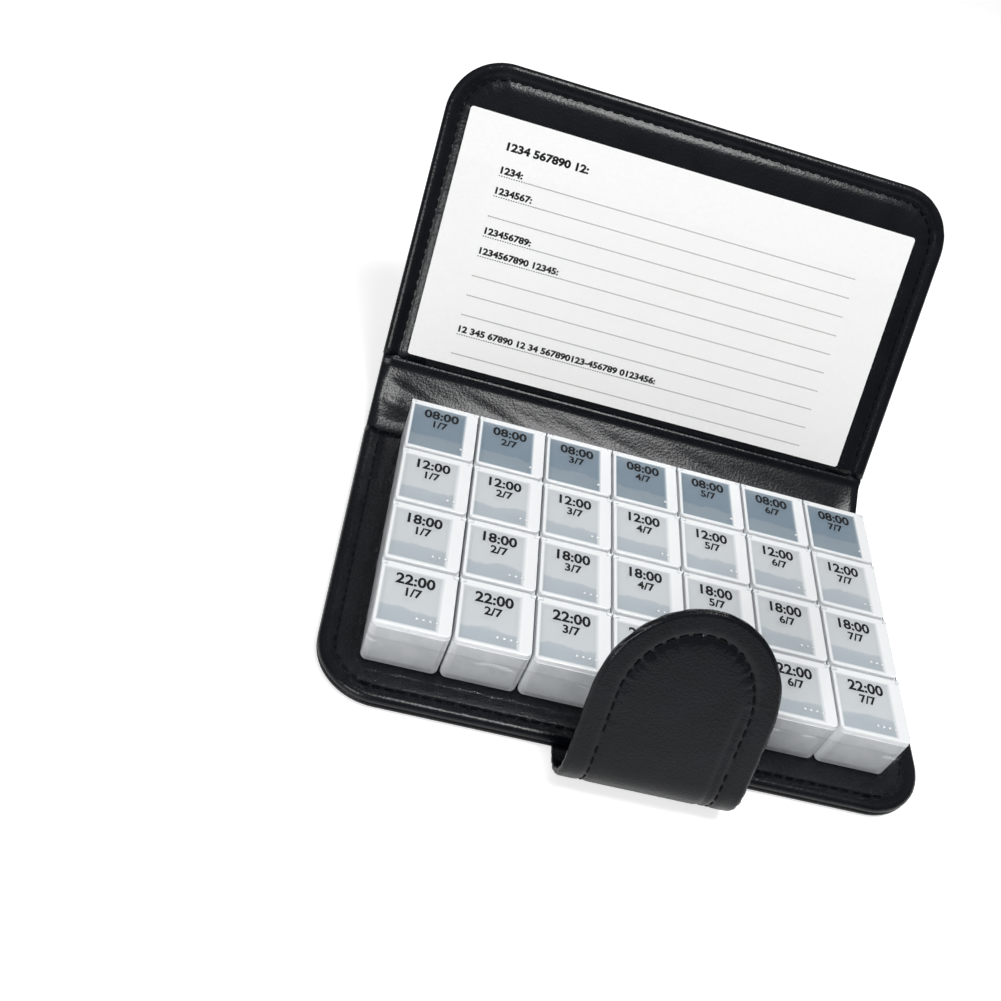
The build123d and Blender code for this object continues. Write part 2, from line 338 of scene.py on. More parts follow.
def make_film(name, haze, edge_haze, glint):
    """Thin clear vinyl: almost invisible, with painted white glints along its upper edge."""
    material, nodes, links, shader = new_material(name)
    place = object_coordinates(nodes)
    cloud = noise(nodes, links, place, 60.0, 3.0)
    drawn_out = nodes.new("ShaderNodeMapping")
    drawn_out.inputs["Scale"].default_value = (0.3, 0.3, 1.0)
    links.new(place, drawn_out.inputs["Vector"])
    creases = noise(nodes, links, drawn_out.outputs["Vector"], 330.0, 2.0)
    # Painted highlight: white glints on the film's upper part, where the stretched crease noise peaks
    upper = spread(nodes, links, shares_of_box(nodes, links)["Z"], 0, 1, 0.7, 0.95)
    painted_glint = combine(nodes, links, "MULTIPLY", upper, spread(nodes, links, creases, 0, 1, 0.55, 0.62))
    facing = nodes.new("ShaderNodeLayerWeight")
    facing.inputs["Blend"].default_value = 0.3
    base = spread(nodes, links, cloud, haze * 0.6, haze * 1.4, *noise_range)
    edge = combine(nodes, links, "MULTIPLY", facing.outputs["Facing"], edge_haze)
    # The painted glints make the film more opaque there, by the glint strength
    bright = combine(nodes, links, "MULTIPLY", painted_glint, glint)
    alpha = combine(nodes, links, "ADD", combine(nodes, links, "ADD", base, edge), bright)
    # Dark film colour, painted white at the glints
    tones = ((0.0, (0.08, 0.083, 0.088)), (0.4, (0.9, 0.92, 0.94)))
    links.new(ramp(nodes, links, painted_glint, tones), shader.inputs["Base Color"])
    links.new(alpha, shader.inputs["Alpha"])
    shader.inputs["Roughness"].default_value = 0.08
    shader.inputs["IOR"].default_value = 1.6
    add_bump(nodes, links, shader, creases, 0.5, 0.6 * MM)
    return material


def make_speckled(name, dark, light, scale, roughness, metallic=0.0, strength=0.2, gloss=0.5):
    """Fine-grained matt or metallic finish, for paper, ink, board and steel."""
    material, nodes, links, shader = new_material(name)
    place = object_coordinates(nodes)
    grain = noise(nodes, links, place, scale, 6.0, 0.65)
    links.new(ramp(nodes, links, grain, ((0.35, dark), (0.65, light))), shader.inputs["Base Color"])
    links.new(spread(nodes, links, grain, roughness * 0.9, roughness * 1.1), shader.inputs["Roughness"])
    shader.inputs["Metallic"].default_value = metallic
    shader.inputs["Specular IOR Level"].default_value = gloss
    add_bump(nodes, links, shader, grain, strength, 0.05 * MM)
    return material


leather = make_leather(
    "leather",
    (0.002, 0.0025, 0.004),
    (0.005, 0.006, 0.009),
    rough_low=0.2,
    rough_high=0.3,
    grain_scale=1300.0,
    grain_strength=0.35,
)
thread = make_thread("thread")
# Milky frame of a lid, as shares of its width and depth: where the window ends, and where the frame is full
lid_frame_right = (0.78, 0.84)
# The same at its other sides: where the frame is full, and where the window starts
lid_frame_left = (0.03, 0.055)
lid_frame_front = (0.03, 0.06)
lid_frame_hinge = (0.9, 0.86)
# Front band of the window, as shares of the lid's depth, and the window's place among the lid's tones
lid_front_band = (0.27, 0.31)
lid_band_wave = 0.05
window_tone = 0.4
milky_white = (0.92, 0.94, 0.95)
# White edges of a strip, as shares of its width and height
strip_edges = (("X", 0.03, 0.055), ("X", 0.97, 0.945), ("Z", 0.03, 0.06))
strip_plastic = make_clear_plastic(
    "strip_plastic",
    (0.86, 0.9, 0.93),
    (0.92, 0.945, 0.96),
    haze=0.5,
    side_haze=0.45,
    level_haze=0.3,
    roughness=0.2,
    edges=strip_edges,
)
milky_lid = make_lid_plastic(
    "milky_lid",
    (0.62, 0.69, 0.74),
    (0.85, 0.89, 0.92),
    milky_white,
    haze=0.55,
    frame_haze=0.93,
    roughness=0.14,
)
clear_lid = make_lid_plastic(
    "clear_lid",
    (0.38, 0.46, 0.52),
    (0.28, 0.37, 0.45),
    milky_white,
    haze=0.55,
    frame_haze=0.93,
    roughness=0.12,
)
dot_plastic = make_clear_plastic(
    "dot_plastic",
    (0.9, 0.92, 0.94),
    (0.97, 0.98, 0.98),
    haze=0.6,
    side_haze=0.1,
    level_haze=0.3,
    roughness=0.15,
)
# Film with painted white glints along its upper edge; the card's film has none
film = make_film("film", haze=0.02, edge_haze=0.1, glint=0.25)
card_film = make_film("card_film", haze=0.003, edge_haze=0.02, glint=0.0)
paper = make_speckled(
    "paper", (0.87, 0.87, 0.865), (0.9, 0.9, 0.895), scale=900.0, roughness=0.75, strength=0.05
)
ink = make_speckled(
    "ink", (0.008, 0.008, 0.009), (0.02, 0.02, 0.022), scale=2500.0, roughness=0.5, gloss=0.1
)
board = make_speckled("board", (0.2, 0.16, 0.12), (0.32, 0.26, 0.2), scale=400.0, roughness=0.9)
steel = make_speckled(
    "steel", (0.45, 0.45, 0.46), (0.6, 0.6, 0.61), scale=1200.0, roughness=0.35, metallic=1.0
)
magnet = make_speckled(
    "magnet", (0.25, 0.25, 0.26), (0.36, 0.36, 0.37), scale=1500.0, roughness=0.3, metallic=1.0
)


# Panels of the case
side_steps = 34
arc_steps = 18
end_steps = 60


def free_edge(outline, inset):
    """Points (x, u) along a panel's three free edges, at an inset from its outline (left, right, length)."""
    left, right, end = outline[0] + inset, outline[1] - inset, outline[2] - inset
    radius = max(corner_radius - inset, least_corner)
    side = end - radius - fold_half_width
    points = []
    for k in range(side_steps):
        points.append((left, fold_half_width + side * k / side_steps))
    for k in range(arc_steps):
        a = pi - pi / 2 * k / arc_steps
        points.append((left + radius + radius * cos(a), end - radius + radius * sin(a)))
    for k in range(end_steps):
        points.append((left + radius + (right - left - 2 * radius) * k / end_steps, end))
    for k in range(arc_steps):
        a = pi / 2 - pi / 2 * k / arc_steps
        points.append((right - radius + radius * cos(a), end - radius + radius * sin(a)))
    for k in range(side_steps + 1):
        points.append((right, end - radius - side * k / side_steps))
    return points


def along(points):
    """Length from the first point to each point of a path."""
    total = [0.0]
    for a, b in zip(points, points[1:]):
        total.append(total[-1] + sqrt(sum((q - p) ** 2 for p, q in zip(a, b))))
    return total


stitch_inset = 5.2
# Section of the sewn edge round its outer roll, from the outer face: inset and height
outer_section = [
    (15.0, 0.0),
    (8.0, 0.0),
    (6.0, 0.08),
    (stitch_inset, 0.35),
    (4.4, 0.08),
    (2.6, 0.0),
    (1.5, 0.12),
    (0.7, 0.5),
    (0.25, 1.1),
    (0.15, 1.7),
    (0.4, 2.2),
]
# Section of its inner roll, seam and face: inset, share of the puckers, height on the tray and on the cover
inner_section = [
    (0.75, 0.2, 2.5, 2.5),
    (0.4, 0.3, 2.8, 2.8),
    (0.05, 0.4, 3.4, 3.3),
    (0.1, 0.5, 4.1, 3.9),
    (0.5, 0.5, 4.75, 4.4),
    (1.15, 0.5, 5.2, 4.75),
    (2.0, 0.5, 5.35, 4.9),
    (2.9, 0.6, 5.2, 4.8),
    (3.8, 0.8, 4.75, 4.5),
    (4.6, 0.9, 4.3, 4.2),
    (stitch_inset, 0.7, 4.12, 4.1),
    (5.8, 0.9, 4.3, 4.35),
    (6.8, 0.8, 4.5, 4.75),
    (8.4, 0.3, 4.45, 4.85),
    (10.5, 0.05, 4.28, 4.85),
    (15.0, 0.0, 4.2, 4.85),
]
tray_heights = [row[2] for row in inner_section]
cover_heights = [row[3] for row in inner_section]
pucker_height = 0.22
corner_pucker = 0.3


def make_panel(name, outline, place, inner_heights, material, seed):
    """One half of the case: flat faces in a rolled, stitched edge that puckers most at its corners."""
    distance = along(free_edge(outline, 0))
    first_corner = range(side_steps, side_steps + arc_steps)
    last_corner = range(side_steps + arc_steps + end_steps, side_steps + 2 * arc_steps + end_steps)
    columns = len(distance)
    points = []
    for inset, height in outer_section:
        points += [place(x, u, height) for x, u in free_edge(outline, inset)]
    for (inset, share, *_), height in zip(inner_section, inner_heights):
        for k, (x, u) in enumerate(free_edge(outline, inset)):
            size = pucker_height + (corner_pucker if k in first_corner or k in last_corner else 0)
            dip = size * share * (1 - ripple(distance[k], seed)) / 2
            points.append(place(x, u, height - dip))
    rows = len(points) // columns
    faces = grid_faces(rows, columns)
    last = (rows - 1) * columns
    faces.append(tuple(range(columns)))
    faces.append(tuple(range(last, last + columns)))
    faces.append(tuple(r * columns for r in range(rows)))
    faces.append(tuple(r * columns + columns - 1 for r in range(rows)))
    faces.append((0, columns - 1, last + columns - 1, last))
    return new_object(name, points, faces, material)


stitch_length = 2.6
stitch_pitch = 3.5
stitch_radius = 0.3


def make_stitches(name, paths, material):
    """Sewing stitches: short rounded lengths of thread along each path of points, sunk at both ends."""
    sides = 8
    rings = 7
    aside = (0.3, 0.5, 0.8)
    points = []
    faces = []
    for path in paths:
        distance = along(path)
        count = int(distance[-1] / stitch_pitch)
        columns = np.array(path)
        for n in range(count):
            middle = (n + 0.5) * stitch_pitch
            ends = [middle - stitch_length / 2, middle + stitch_length / 2]
            a, b = (np.array([np.interp(e, distance, columns[:, i]) for i in range(3)]) for e in ends)
            axis = (b - a) / np.linalg.norm(b - a)
            other = np.cross(axis, aside)
            other /= np.linalg.norm(other)
            third = np.cross(axis, other)
            first = len(points)
            for r in range(rings):
                t = -1 + 2 * r / (rings - 1)
                radius = stitch_radius * sqrt(max(1 - t ** 4, 0.02))
                centre = a + (b - a) * (t + 1) / 2
                for s in range(sides):
                    turn = 2 * pi * s / sides
                    points.append(tuple(centre + radius * (cos(turn) * other + sin(turn) * third)))
            faces += grid_faces(rings, sides, first, True)
            faces.append(tuple(first + s for s in range(sides)))
            faces.append(tuple(first + (rings - 1) * sides + s for s in range(sides)))
    return new_object(name, points, faces, material)


cover_lift = 0.65
tray_outline = (-half_width, half_width, tray_length)
cover_outline = (cover_left, cover_right, cover_length)
tray_case = make_panel("tray_case", tray_outline, on_tray, tray_heights, leather, 1.0)
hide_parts("tray_skin", "tray_lining", "tray_edge_binding")
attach(tray_case, "tray")

cover_case = make_panel("cover_case", cover_outline, on_cover, cover_heights, leather, 2.3)
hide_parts("cover_skin", "cover_lining", "cover_edge_binding")
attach(cover_case, "cover")


seam_inner_height = 4.2
seam_outer_height = 0.32
# Points of the edge that a seam leaves out at each fold
seam_clear = 2


def stitch_paths(outline, place):
    """Seam lines of a panel, on its inner and its outer face."""
    line = free_edge(outline, stitch_inset)[seam_clear:-seam_clear]
    return [[place(x, u, height) for x, u in line] for height in (seam_inner_height, seam_outer_height)]


tray_stitches = make_stitches("tray_stitches", stitch_paths(tray_outline, on_tray), thread)
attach(tray_stitches, "tray")
cover_stitches = make_stitches("cover_stitches", stitch_paths(cover_outline, on_cover), thread)
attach(cover_stitches, "cover")


# Spine band: a bent strip of leather from the tray to the cover
spine_tuck = 3.2
spine_bend = 5.0
spine_edge = 0.6
spine_side_inset = 0.9
spine_flare = 9.0
spine_rise_length = 2.2
spine_end_half = 1.35
spine_swell = 0.75
spine_tray_taper = 6.0
spine_cover_taper = 1.5
# Hollow of the band: its depth, the waves in it and at its left end, and the flat rim beside it
spine_dip = 0.9
spine_wave = 0.3
spine_end_wave = 0.5
spine_end_reach = 14.0
spine_wave_pace = (0.3, 0.8)
spine_wave_seed = 3.1
spine_rim = 6.0


def spine_path(s):
    """Place (y, z) and slope of the band's middle surface at a distance s past the lower fold."""
    def turn(past):
        t = min(max((past + spine_bend) / (2 * spine_bend), 0), 1)
        return spine_angle * (t - sin(2 * pi * t) / (2 * pi))

    steps = 60
    y, z = fold_line - spine_bend, fold_height
    if s <= -spine_bend:
        return (fold_line + s, fold_height, 0.0)
    span = s + spine_bend
    for k in range(steps):
        past = -spine_bend + span * (k + 0.5) / steps
        angle = turn(past) + turn(past - spine_length)
        y += cos(angle) * span / steps
        z += sin(angle) * span / steps
    return (y, z, turn(s) + turn(s - spine_length))


def make_spine(name, start, end, steps):
    """Part of the band between two distances past the lower fold: a wavy hollow with round side edges."""
    columns = 60
    round_steps = 6
    points = []
    for k in range(steps + 1):
        s = start + (end - start) * k / steps
        y, z, angle = spine_path(s)
        up = min(max(s / spine_length, 0), 1)
        left = -half_width + (cover_left + half_width) * up + spine_side_inset
        flare = 1 - min(max(s / spine_flare, 0), 1)
        right = cover_right - spine_side_inset + (half_width - cover_right) * flare ** 2
        past_tray = min(max((s + fold_half_width) / spine_tray_taper, 0), 1)
        before_cover = min(max((spine_length + fold_half_width - s) / spine_cover_taper, 0), 1)
        thick = spine_end_half + spine_swell * min(past_tray, before_cover)
        rise = cover_lift * min(max(1 + (s - spine_length) / spine_rise_length, 0), 1)
        section = []
        for c in range(columns + 1):
            x = left + (right - left) * c / columns
            near_end = np.exp(-(((x - left) / spine_end_reach) ** 2))
            swing = 0.5 + 0.5 * ripple(x * spine_wave_pace[0] + s * spine_wave_pace[1], spine_wave_seed)
            wave = (spine_wave + spine_end_wave * near_end) * swing
            within = min((x - left) / spine_rim, (right - x) / spine_rim, 1)
            hollow = (spine_dip + wave) * sin(pi * up) ** 2 * sin(pi / 2 * within) ** 2
            section.append((x, thick + rise - hollow))
        turns = [pi * k / round_steps for k in range(1, round_steps)]
        section += [(right + spine_edge * sin(a), thick * cos(a) + rise * (1 + cos(a)) / 2) for a in turns]
        section += [(x, -thick) for x, h in reversed(section[: columns + 1])]
        section += [(left - spine_edge * sin(a), -thick * cos(a) + rise * (1 - cos(a)) / 2) for a in turns]
        for x, h in section:
            points.append((x, y - h * sin(angle), z + h * cos(angle)))
    ring = len(points) // (steps + 1)
    faces = grid_faces(steps + 1, ring, 0, True)
    tucked = 0 if start < 0 else len(points) - ring
    faces.append(tuple(range(tucked, tucked + ring)))
    return new_object(name, points, faces, leather)


def spine_point(s):
    y, z, angle = spine_path(s)
    return (0, y * MM, z * MM)


spine_steps = 26
spine_lower = make_spine("spine_lower", -fold_half_width - spine_tuck, spine_length / 2, spine_steps)
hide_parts("lower_fold_leather", "spine_skin")
spine_point(-spine_bend)
spine_point(spine_bend)
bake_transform(spine_lower)

spine_upper = make_spine(
    "spine_upper", spine_length / 2, spine_length + fold_half_width + spine_tuck, spine_steps
)
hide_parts("upper_fold_leather", "spine_lining", "spine_board")
spine_point(spine_length - spine_bend)
spine_point(spine_length + spine_bend)
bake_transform(spine_upper)


# Strap: one soft strip, bent up in front of the tray, with a rounded tip
strap_edge_half = 1.15
strap_edge_round = 1.3
strap_crown = 0.1
strap_crown_reach = 20.0
strap_least_half = 0.02
strap_inner_share = 0.95
# Seam all round, and a second one on the right that fades out towards the tip: inset, depth and width
strap_stitch_inset = 7.0
strap_groove = 0.42
strap_groove_width = 0.9
second_seam_inset = 9.8
second_groove = 0.35
second_groove_width = 0.7
second_seam_fade = 8.0
second_seam_end = root_length + bend_length + neck_length + second_seam_fade
# Puckers just inside the seam, deeper round the tip
strap_pucker = 0.1
tip_pucker = 0.2
tip_pucker_reach = 6.0
strap_pucker_start = root_length + 4
pucker_inset = 0.6
pucker_width = 2.2
pucker_pace = 1.5
pucker_seed = 3.4
tip_length = tongue_length * 0.98
tip_middle = strap_length - strap_half


def on_strap(x, v, depth):
    """Place at x across and v along the strap from its sewn end; depth runs in from its outer face."""
    x = x + strap_middle
    run = v - root_length
    if run <= 0:
        return (x, bend_centre[0] - run, depth)
    if run < bend_length:
        a = run / bend_radius
        r = bend_radius - depth
        return (x, bend_centre[0] - r * sin(a), bend_centre[1] - r * cos(a))
    past = run - bend_length
    c, s = cos(strap_lean), sin(strap_lean)
    r = bend_radius - depth
    return (x, bend_centre[0] + past * c - r * s, bend_centre[1] + past * s + r * c)


def strap_half_width(v):
    """Half width of the strap at a place along it: straight, then an elliptical tip."""
    past = v - (strap_length - tip_length)
    if past <= 0:
        return strap_half
    return strap_half * sqrt(max(1 - (past / tip_length) ** 2, 0))


root_samples = 20
rim_samples = 60
tip_places = [
    strap_length - tip_length * (1 - sin(pi / 2 * k / rim_samples)) for k in range(rim_samples + 1)
]
straight_run = tip_places[0] - root_length
strap_rim = np.array(
    [(strap_half, root_length * k / root_samples) for k in range(root_samples)]
    + [(strap_half, root_length + straight_run * k / rim_samples) for k in range(rim_samples)]
    + [(strap_half_width(v), v) for v in tip_places]
)


def rim_distance(x, v):
    """Distance from a point of the strap to its long edges and tip."""
    return float(np.min(np.hypot(strap_rim[:, 0] - abs(x), strap_rim[:, 1] - v)))


def strap_thickness_at(x, v, d):
    """Half thickness at a distance d in from the edge: thin rounded edge, sewn grooves and soft middle."""
    edge = strap_edge_half * sqrt(max(1 - (1 - min(d / strap_edge_round, 1)) ** 2, 0.0))
    groove = strap_groove * np.exp(-((d - strap_stitch_inset) / strap_groove_width) ** 2)
    if x > 0:
        fade = min(max((second_seam_end - v) / second_seam_fade, 0), 1)
        groove += second_groove * fade * np.exp(-((d - second_seam_inset) / second_groove_width) ** 2)
    crown = strap_crown * min(d / strap_crown_reach, 1)
    return max(edge - groove + crown, strap_least_half)


def strap_pucker_at(x, v, d):
    """Depth of the gathered leather at a distance d in from the edge."""
    if v <= strap_pucker_start:
        return 0.0
    around = v
    if v > tip_middle:
        around = tip_middle + strap_half * (pi / 2 - abs(atan2(x, v - tip_middle)))
    near_tip = min(max((v - tip_middle + tip_pucker_reach) / (2 * tip_pucker_reach), 0), 1)
    band = np.exp(-((d - strap_stitch_inset - pucker_inset) / pucker_width) ** 2)
    swing = 0.5 - 0.5 * ripple(around * pucker_pace, pucker_seed)
    return (strap_pucker + tip_pucker * near_tip) * band * swing


def make_strap(name, start, end, steps):
    """Stretch of the strap between two places along it; its end at the tip closes to a point."""
    half_columns = 40
    least_half = 0.01
    middle = strap_thickness / 2
    shares = [sin(pi / 2 * k / half_columns) for k in range(-half_columns, half_columns + 1)]
    at_tip = end >= strap_length
    rows = []
    for k in range(steps + 1):
        t = k / steps
        v = start + (end - start) * (sin(pi / 2 * t) if at_tip else t)
        half = max(strap_half_width(v), least_half)
        outer_row = []
        inner_row = []
        for share in shares:
            x = share * half
            d = rim_distance(x, v)
            thick = strap_thickness_at(x, v, d)
            outer_row.append(on_strap(x, v, max(middle - thick, 0.0) + strap_pucker_at(x, v, d)))
            inner_row.append(on_strap(x, v, middle + thick * strap_inner_share))
        rows.append(outer_row + inner_row[::-1])
    ring = len(rows[0])
    points = [p for row in rows for p in row]
    faces = grid_faces(len(rows), ring, 0, True)
    if not at_tip:
        faces.append(tuple(range(ring)))
    return new_object(name, points, faces, leather)


neck_start = root_length + bend_length
strap_split = neck_start + neck_length * 0.45
strap_start = 0.3

strap_lower = make_strap("strap_lower", strap_start, strap_split, steps=60)
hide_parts("strap_root", "strap_bend", "strap_neck")
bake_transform(strap_lower)

strap_upper = make_strap("strap_upper", strap_split, strap_length, steps=80)
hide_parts("strap_tongue", "strap_tongue_lining")
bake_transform(strap_upper)


# Depths of the seam lines on the strap's outer and inner face
strap_seam_depths = (0.35, strap_thickness - 0.3)
strap_seam_start = root_length + 6.0


def strap_seam(start, end):
    """Seam lines along both long edges of the strap, on its outer and inner face."""
    paths = []
    steps = 40
    for side in (-1, 1):
        line = []
        for k in range(steps + 1):
            line.append((side * (strap_half - strap_stitch_inset), start + (end - start) * k / steps))
        for depth in strap_seam_depths:
            paths.append([on_strap(x, v, depth) for x, v in line])
    return paths


def strap_tip_seam(start):
    """Seam line that follows the rounded tip from one edge to the other."""
    tip = tip_length - strap_stitch_inset
    half = strap_half - strap_stitch_inset
    base = strap_length - tip_length
    side_count = 20
    tip_count = 60
    turns = [pi * k / tip_count for k in range(tip_count + 1)]
    line = [(-half, start + (base - start) * k / side_count) for k in range(side_count)]
    line += [(-half * cos(turn), base + tip * sin(turn)) for turn in turns]
    line += [(half, base + (start - base) * k / side_count) for k in range(1, side_count + 1)]
    return [[on_strap(x, v, depth) for x, v in line] for depth in strap_seam_depths]


strap_stitches_lower = make_stitches(
    "strap_stitches_lower", strap_seam(strap_seam_start, strap_split), thread
)
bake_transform(strap_stitches_lower)
strap_stitches_upper = make_stitches("strap_stitches_upper", strap_tip_seam(strap_split), thread)
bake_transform(strap_stitches_upper)


# Clear film round the strips
film_gap = 0.55
film_rise = 12.6
film_flange = 6.2
film_thickness = 0.25
film_corner = 2.5
film_seat = 0.2
# Waves of the film: how far it stands out, and how uneven its upper edge is, with their pace and seed
film_slack = 0.45
film_slack_pace = 0.8
film_slack_shift = 9
film_slack_seed = 2.0
film_edge_wave = 0.5
film_edge_pace = 0.35
film_edge_seed = 4.0
film_back = box("strip_pocket_film")[1][1]
# Section of the film from its sewn flange up the wall: distance out from the strips and height, as shares
film_section_shares = [
    (1.0, 0.012),
    (0.72, 0.016),
    (0.4, 0.03),
    (0.16, 0.075),
    (0.06, 0.17),
    (0.03, 0.32),
    (0.02, 0.5),
    (0.01, 0.7),
    (0.0, 0.88),
    (0.0, 1.0),
]


def thicken(obj):
    """Gives a film its thickness, outwards."""
    solid = obj.modifiers.new("thickness", "SOLIDIFY")
    solid.thickness = film_thickness * MM
    solid.offset = 1.0


def make_film_wall():
    """Slack wall of clear film on the left, front and right of the strips, sewn down along its flange."""
    steps = 60
    corner_steps = 10
    corner = film_corner
    half = strips_half + film_gap
    front = strips_front - film_gap
    path = [(-half, film_back + (front + corner - film_back) * k / steps, -1, 0) for k in range(steps)]
    for k in range(corner_steps):
        a = pi + pi / 2 * k / corner_steps
        path.append((-half + corner + corner * cos(a), front + corner + corner * sin(a), cos(a), sin(a)))
    for k in range(2 * steps):
        path.append((-half + corner + 2 * (half - corner) * k / (2 * steps), front, 0, -1))
    for k in range(corner_steps):
        a = -pi / 2 + pi / 2 * k / corner_steps
        path.append((half - corner + corner * cos(a), front + corner + corner * sin(a), cos(a), sin(a)))
    for k in range(steps + 1):
        path.append((half, front + corner + (film_back - front - corner) * k / steps, 1, 0))
    distance = along([(x, y) for x, y, nx, ny in path])
    points = []
    for out_share, rise_share in film_section_shares:
        for k, (x, y, nx, ny) in enumerate(path):
            swell = sin(pi * min(rise_share + 0.1, 1))
            along_wave = distance[k] * film_slack_pace + film_slack_shift * rise_share
            slack = film_slack * (1 + ripple(along_wave, film_slack_seed)) * swell
            out = film_flange * out_share + slack
            top = film_edge_wave * ripple(distance[k] * film_edge_pace, film_edge_seed) * rise_share
            z = panel_height + film_seat + film_rise * rise_share + top
            points.append((x + nx * out, y + ny * out, z))
    obj = new_object("film_wall", points, grid_faces(len(film_section_shares), len(path)), film)
    thicken(obj)
    return obj, distance[-1]


film_wall, film_run = make_film_wall()
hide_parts("strip_pocket_film")
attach(film_wall, "tray")

# Card with printed rules, in its film pocket on the cover
card_low, card_high = box("id_card")
card_left = card_low[0]
card_right = card_high[0]
card_face = 5.52
card_bottom = 4.52
card_height = 83.0
print_lift = 0.03
pocket_film_height = 6.05
pocket_rim = 2.0
pocket_share = 0.8
pocket_seam_height = 5.06
pocket_slack = 0.35
pocket_wrinkle_reach = 30.0
pocket_least_wrinkle = 0.15
pocket_wave_pace = (0.9, 0.5)
pocket_wave_seed = 1.4


def make_card_film():
    """Clear film over the lower part of the card: sewn at three rims, wrinkled towards the right."""
    columns = 90
    rows = 50
    left = card_left - pocket_rim
    right = card_right + pocket_rim
    bottom = fold_half_width
    top = card_bottom + card_height * pocket_share
    rise = pocket_film_height - pocket_seam_height
    points = []
    for r in range(rows + 1):
        u = bottom + (top - bottom) * r / rows
        for c in range(columns + 1):
            x = left + (right - left) * c / columns
            rim = min(x - left, right - x, u - bottom)
            t = min(rim / pocket_rim, 1)
            ease = t * t * (3 - 2 * t)
            from_left = (x - card_right + pocket_wrinkle_reach) / pocket_wrinkle_reach
            wave = max(ripple(pocket_wave_pace[0] * x + pocket_wave_pace[1] * u, pocket_wave_seed), 0)
            slack = wave * pocket_slack * max(from_left, pocket_least_wrinkle)
            points.append(on_cover(x, u, pocket_seam_height + (rise + slack) * ease))
    obj = new_object("card_film_pocket", points, grid_faces(rows + 1, columns + 1), card_film)
    thicken(obj)
    return obj, (right - left, top - bottom)


card_pocket, card_pocket_size = make_card_film()
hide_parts("card_pocket_film")
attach(card_pocket, "cover")


def text_outline(body, height, bold=0.0):
    """Points and faces of a line of figures, in millimetres, centred on its own middle."""
    curve = bpy.data.curves.new("figures", "FONT")
    curve.body = body
    curve.size = 1.0
    curve.resolution_u = 3
    curve.offset = bold
    obj = bpy.data.objects.new("figures", curve)
    bpy.context.scene.collection.objects.link(obj)
    bpy.context.view_layer.update()
    mesh = bpy.data.meshes.new_from_object(obj.evaluated_get(bpy.context.evaluated_depsgraph_get()))
    points = np.array([v.co for v in mesh.vertices])[:, :2]
    faces = [tuple(p.vertices) for p in mesh.polygons]
    bpy.data.objects.remove(obj)
    bpy.data.curves.remove(curve)
    bpy.data.meshes.remove(mesh)
    low, high = points.min(axis=0), points.max(axis=0)
    points = (points - (low + high) / 2) * height / (high[1] - low[1])
    return points, faces


def add_shape(points, faces, shape, place):
    """Adds an outline's points, set in place by a function of its x and y."""
    first = len(points)
    points += [place(x, y) for x, y in shape[0]]
    faces += [tuple(first + i for i in face) for face in shape[1]]


figure_weight = 0.03
square = (np.array([(-0.5, -0.5), (0.5, -0.5), (0.5, 0.5), (-0.5, 0.5)]), [(0, 1, 2, 3)])
rule_rows = 10
rule_pitch = 6.7
rule_top = 68.8
rule_left = -69.4
rule_right = 59.0
rule_dot = (0.42, 0.34)
rule_dot_pitch = 0.85
label_height = 2.4
label_stretch = 1.22
label_weight = 0.045
label_rise = 1.9
heading_height = 2.9
heading_rise = 9.6
heading = "1234 567890 12:"
labels = {
    0: "1234:",
    1: "1234567:",
    3: "123456789:",
    4: "1234567890 12345:",
    8: "12 345 67890 12 34 567890123-456789 0123456:",
}


def make_card_print():
    """Printed card: a heading, numbered dotted rules and their labels, all as plain figures."""
    points = []
    faces = []

    def at(cx, cu, size_x=1.0, size_u=1.0):
        return lambda x, y: on_cover(cx + x * size_x, cu + y * size_u, card_face + print_lift)

    def left_aligned(body, height, u):
        shape = text_outline(body, height, label_weight)
        middle = rule_left + shape[0][:, 0].max() * label_stretch
        add_shape(points, faces, shape, at(middle, u, label_stretch))

    left_aligned(heading, heading_height, rule_top + heading_rise)
    for row in range(rule_rows):
        u = rule_top - row * rule_pitch
        if row in labels:
            left_aligned(labels[row], label_height, u + label_rise)
        for k in range(int((rule_right - rule_left) / rule_dot_pitch)):
            add_shape(points, faces, square, at(rule_left + k * rule_dot_pitch, u, *rule_dot))
    return new_object("card_print", points, faces, ink, smooth=False)


card_print = make_card_print()
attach(card_print, "card")

# Figures on the lids: the hour of the dose, and the day below it
lid_hours = {"morning": "08:00", "noon": "12:00", "evening": "18:00", "bedtime": "22:00"}
day_count = 7
hour_height = 3.9
day_height = 3.1
line_gap = 0.9
figures_shift = (-0.9, 3.1)
dot_radius = 0.5
dot_height = 0.3
dot_pitch = 1.9
dots_place = (6.6, -7.4)
# Section of a dot from its foot to its top, as shares of its radius and height
dot_section = ((1.0, 0.0), (0.8, 0.6), (0.4, 0.92))
hour_lines = {time: text_outline(hour, hour_height, figure_weight) for time, hour in lid_hours.items()}
day_lines = [text_outline(f"{day + 1}/{day_count}", day_height, figure_weight) for day in range(day_count)]


def add_dot(points, faces, x, y, z):
    """Low round dot that can be felt on a lid."""
    sides = 10
    first = len(points)
    for radius_share, rise_share in dot_section:
        for k in range(sides):
            a = 2 * pi * k / sides
            radius = dot_radius * radius_share
            points.append((x + radius * cos(a), y + radius * sin(a), z + dot_height * rise_share))
    faces += grid_faces(len(dot_section), sides, first, True)
    top = first + (len(dot_section) - 1) * sides
    faces.append(tuple(first + k for k in range(sides)))
    faces.append(tuple(top + k for k in range(sides)))


